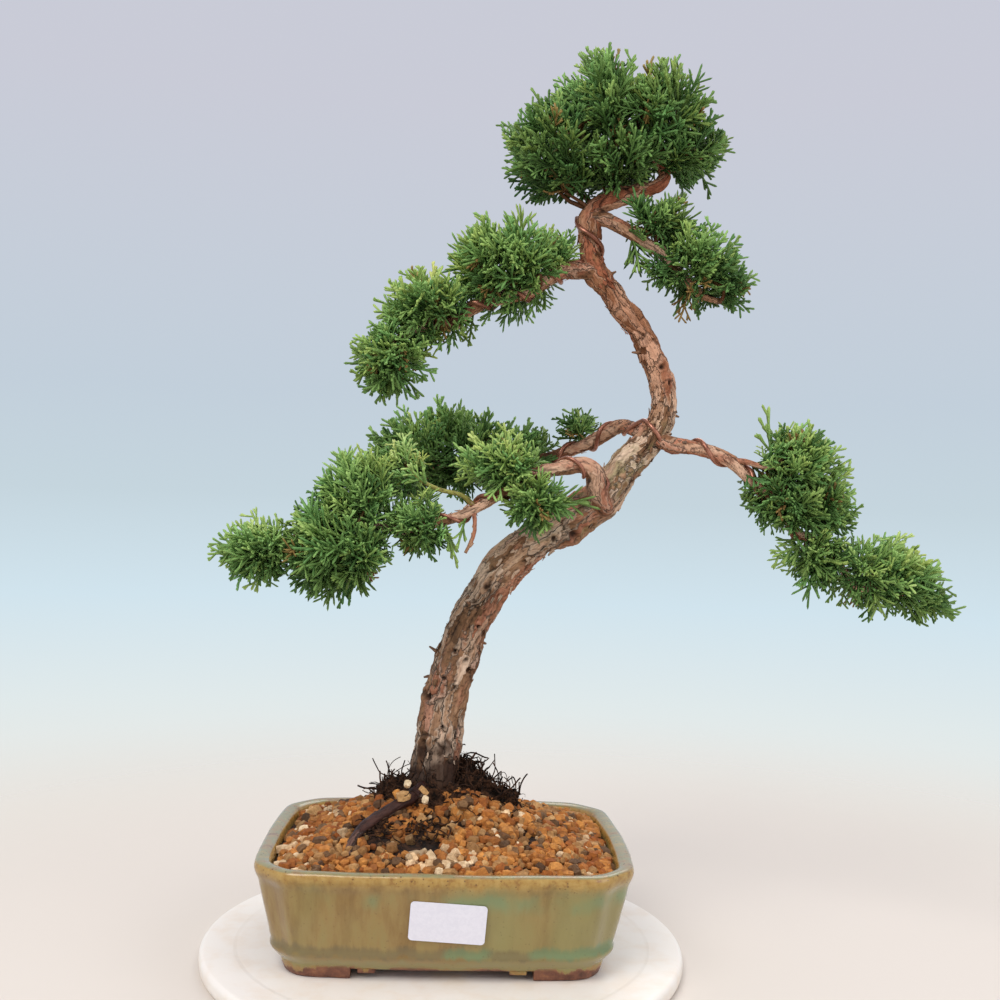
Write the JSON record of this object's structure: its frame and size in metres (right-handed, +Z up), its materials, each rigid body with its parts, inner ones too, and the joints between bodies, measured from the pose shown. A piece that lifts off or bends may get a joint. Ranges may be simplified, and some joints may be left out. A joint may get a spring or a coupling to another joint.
{
  "type": "bonsai tree in a pot",
  "caption": "Wired juniper bonsai with an S-curved trunk and flat pads of foliage, planted on a mound of grit in a glazed rectangular pot with corner feet.",
  "frame": {"origin": "on the ground, under the middle of the whole object's box; the pot's own centre is 75 mm to the left and 8 mm forward of it", "axes": "+Z up; +X to the viewer's right along the pot's long side, the way the longest right branch reaches; the front, with the sticker, faces -Y"},
  "size_m": [0.398, 0.17, 0.504],
  "materials": {
    "glaze": "gloss",
    "grit": "matte",
    "root_fibre": "matte",
    "root_bark": "satin",
    "bark": "matte",
    "green_bark": "satin",
    "training_wire": "satin",
    "clip_wire": "satin",
    "screen_plastic": "matte",
    "foliage": "matte",
    "label_paper": "satin"
  },
  "bodies": {
    "root": {"branch_low_left": "bark", "branch_mid_left": "bark", "branch_rear_left": "bark", "branch_right": "bark", "branch_upper_right": "bark", "drain_screen_left": "screen_plastic", "drain_screen_right": "screen_plastic", "foliage_crown": "foliage", "foliage_front_tuft_lower": "foliage", "foliage_front_tuft_upper": "foliage", "foliage_green_tuft": "foliage", "foliage_low_left_inner": "foliage", "foliage_low_left_mid": "foliage", "foliage_low_left_tip": "foliage", "foliage_mid_left_inner": "foliage", "foliage_mid_left_outer": "foliage", "foliage_mid_left_tip": "foliage", "foliage_rear_left": "foliage", "foliage_rear_sprig": "foliage", "foliage_right_lower": "foliage", "foliage_right_outer": "foliage", "foliage_right_upper": "foliage", "foliage_upper_right_inner": "foliage", "foliage_upper_right_outer": "foliage", "label": "label_paper", "pot": "glaze", "root_mat": "root_fibre", "screen_clip_left": "clip_wire", "screen_clip_right": "clip_wire", "substrate": "grit", "surface_root": "root_bark", "trunk": "bark", "twig_dead": "bark", "twig_green": "green_bark", "twig_right": "bark", "wire_low_left": "training_wire", "wire_rear_to_right": "training_wire", "wire_upper": "training_wire"}
  },
  "joints": []
}
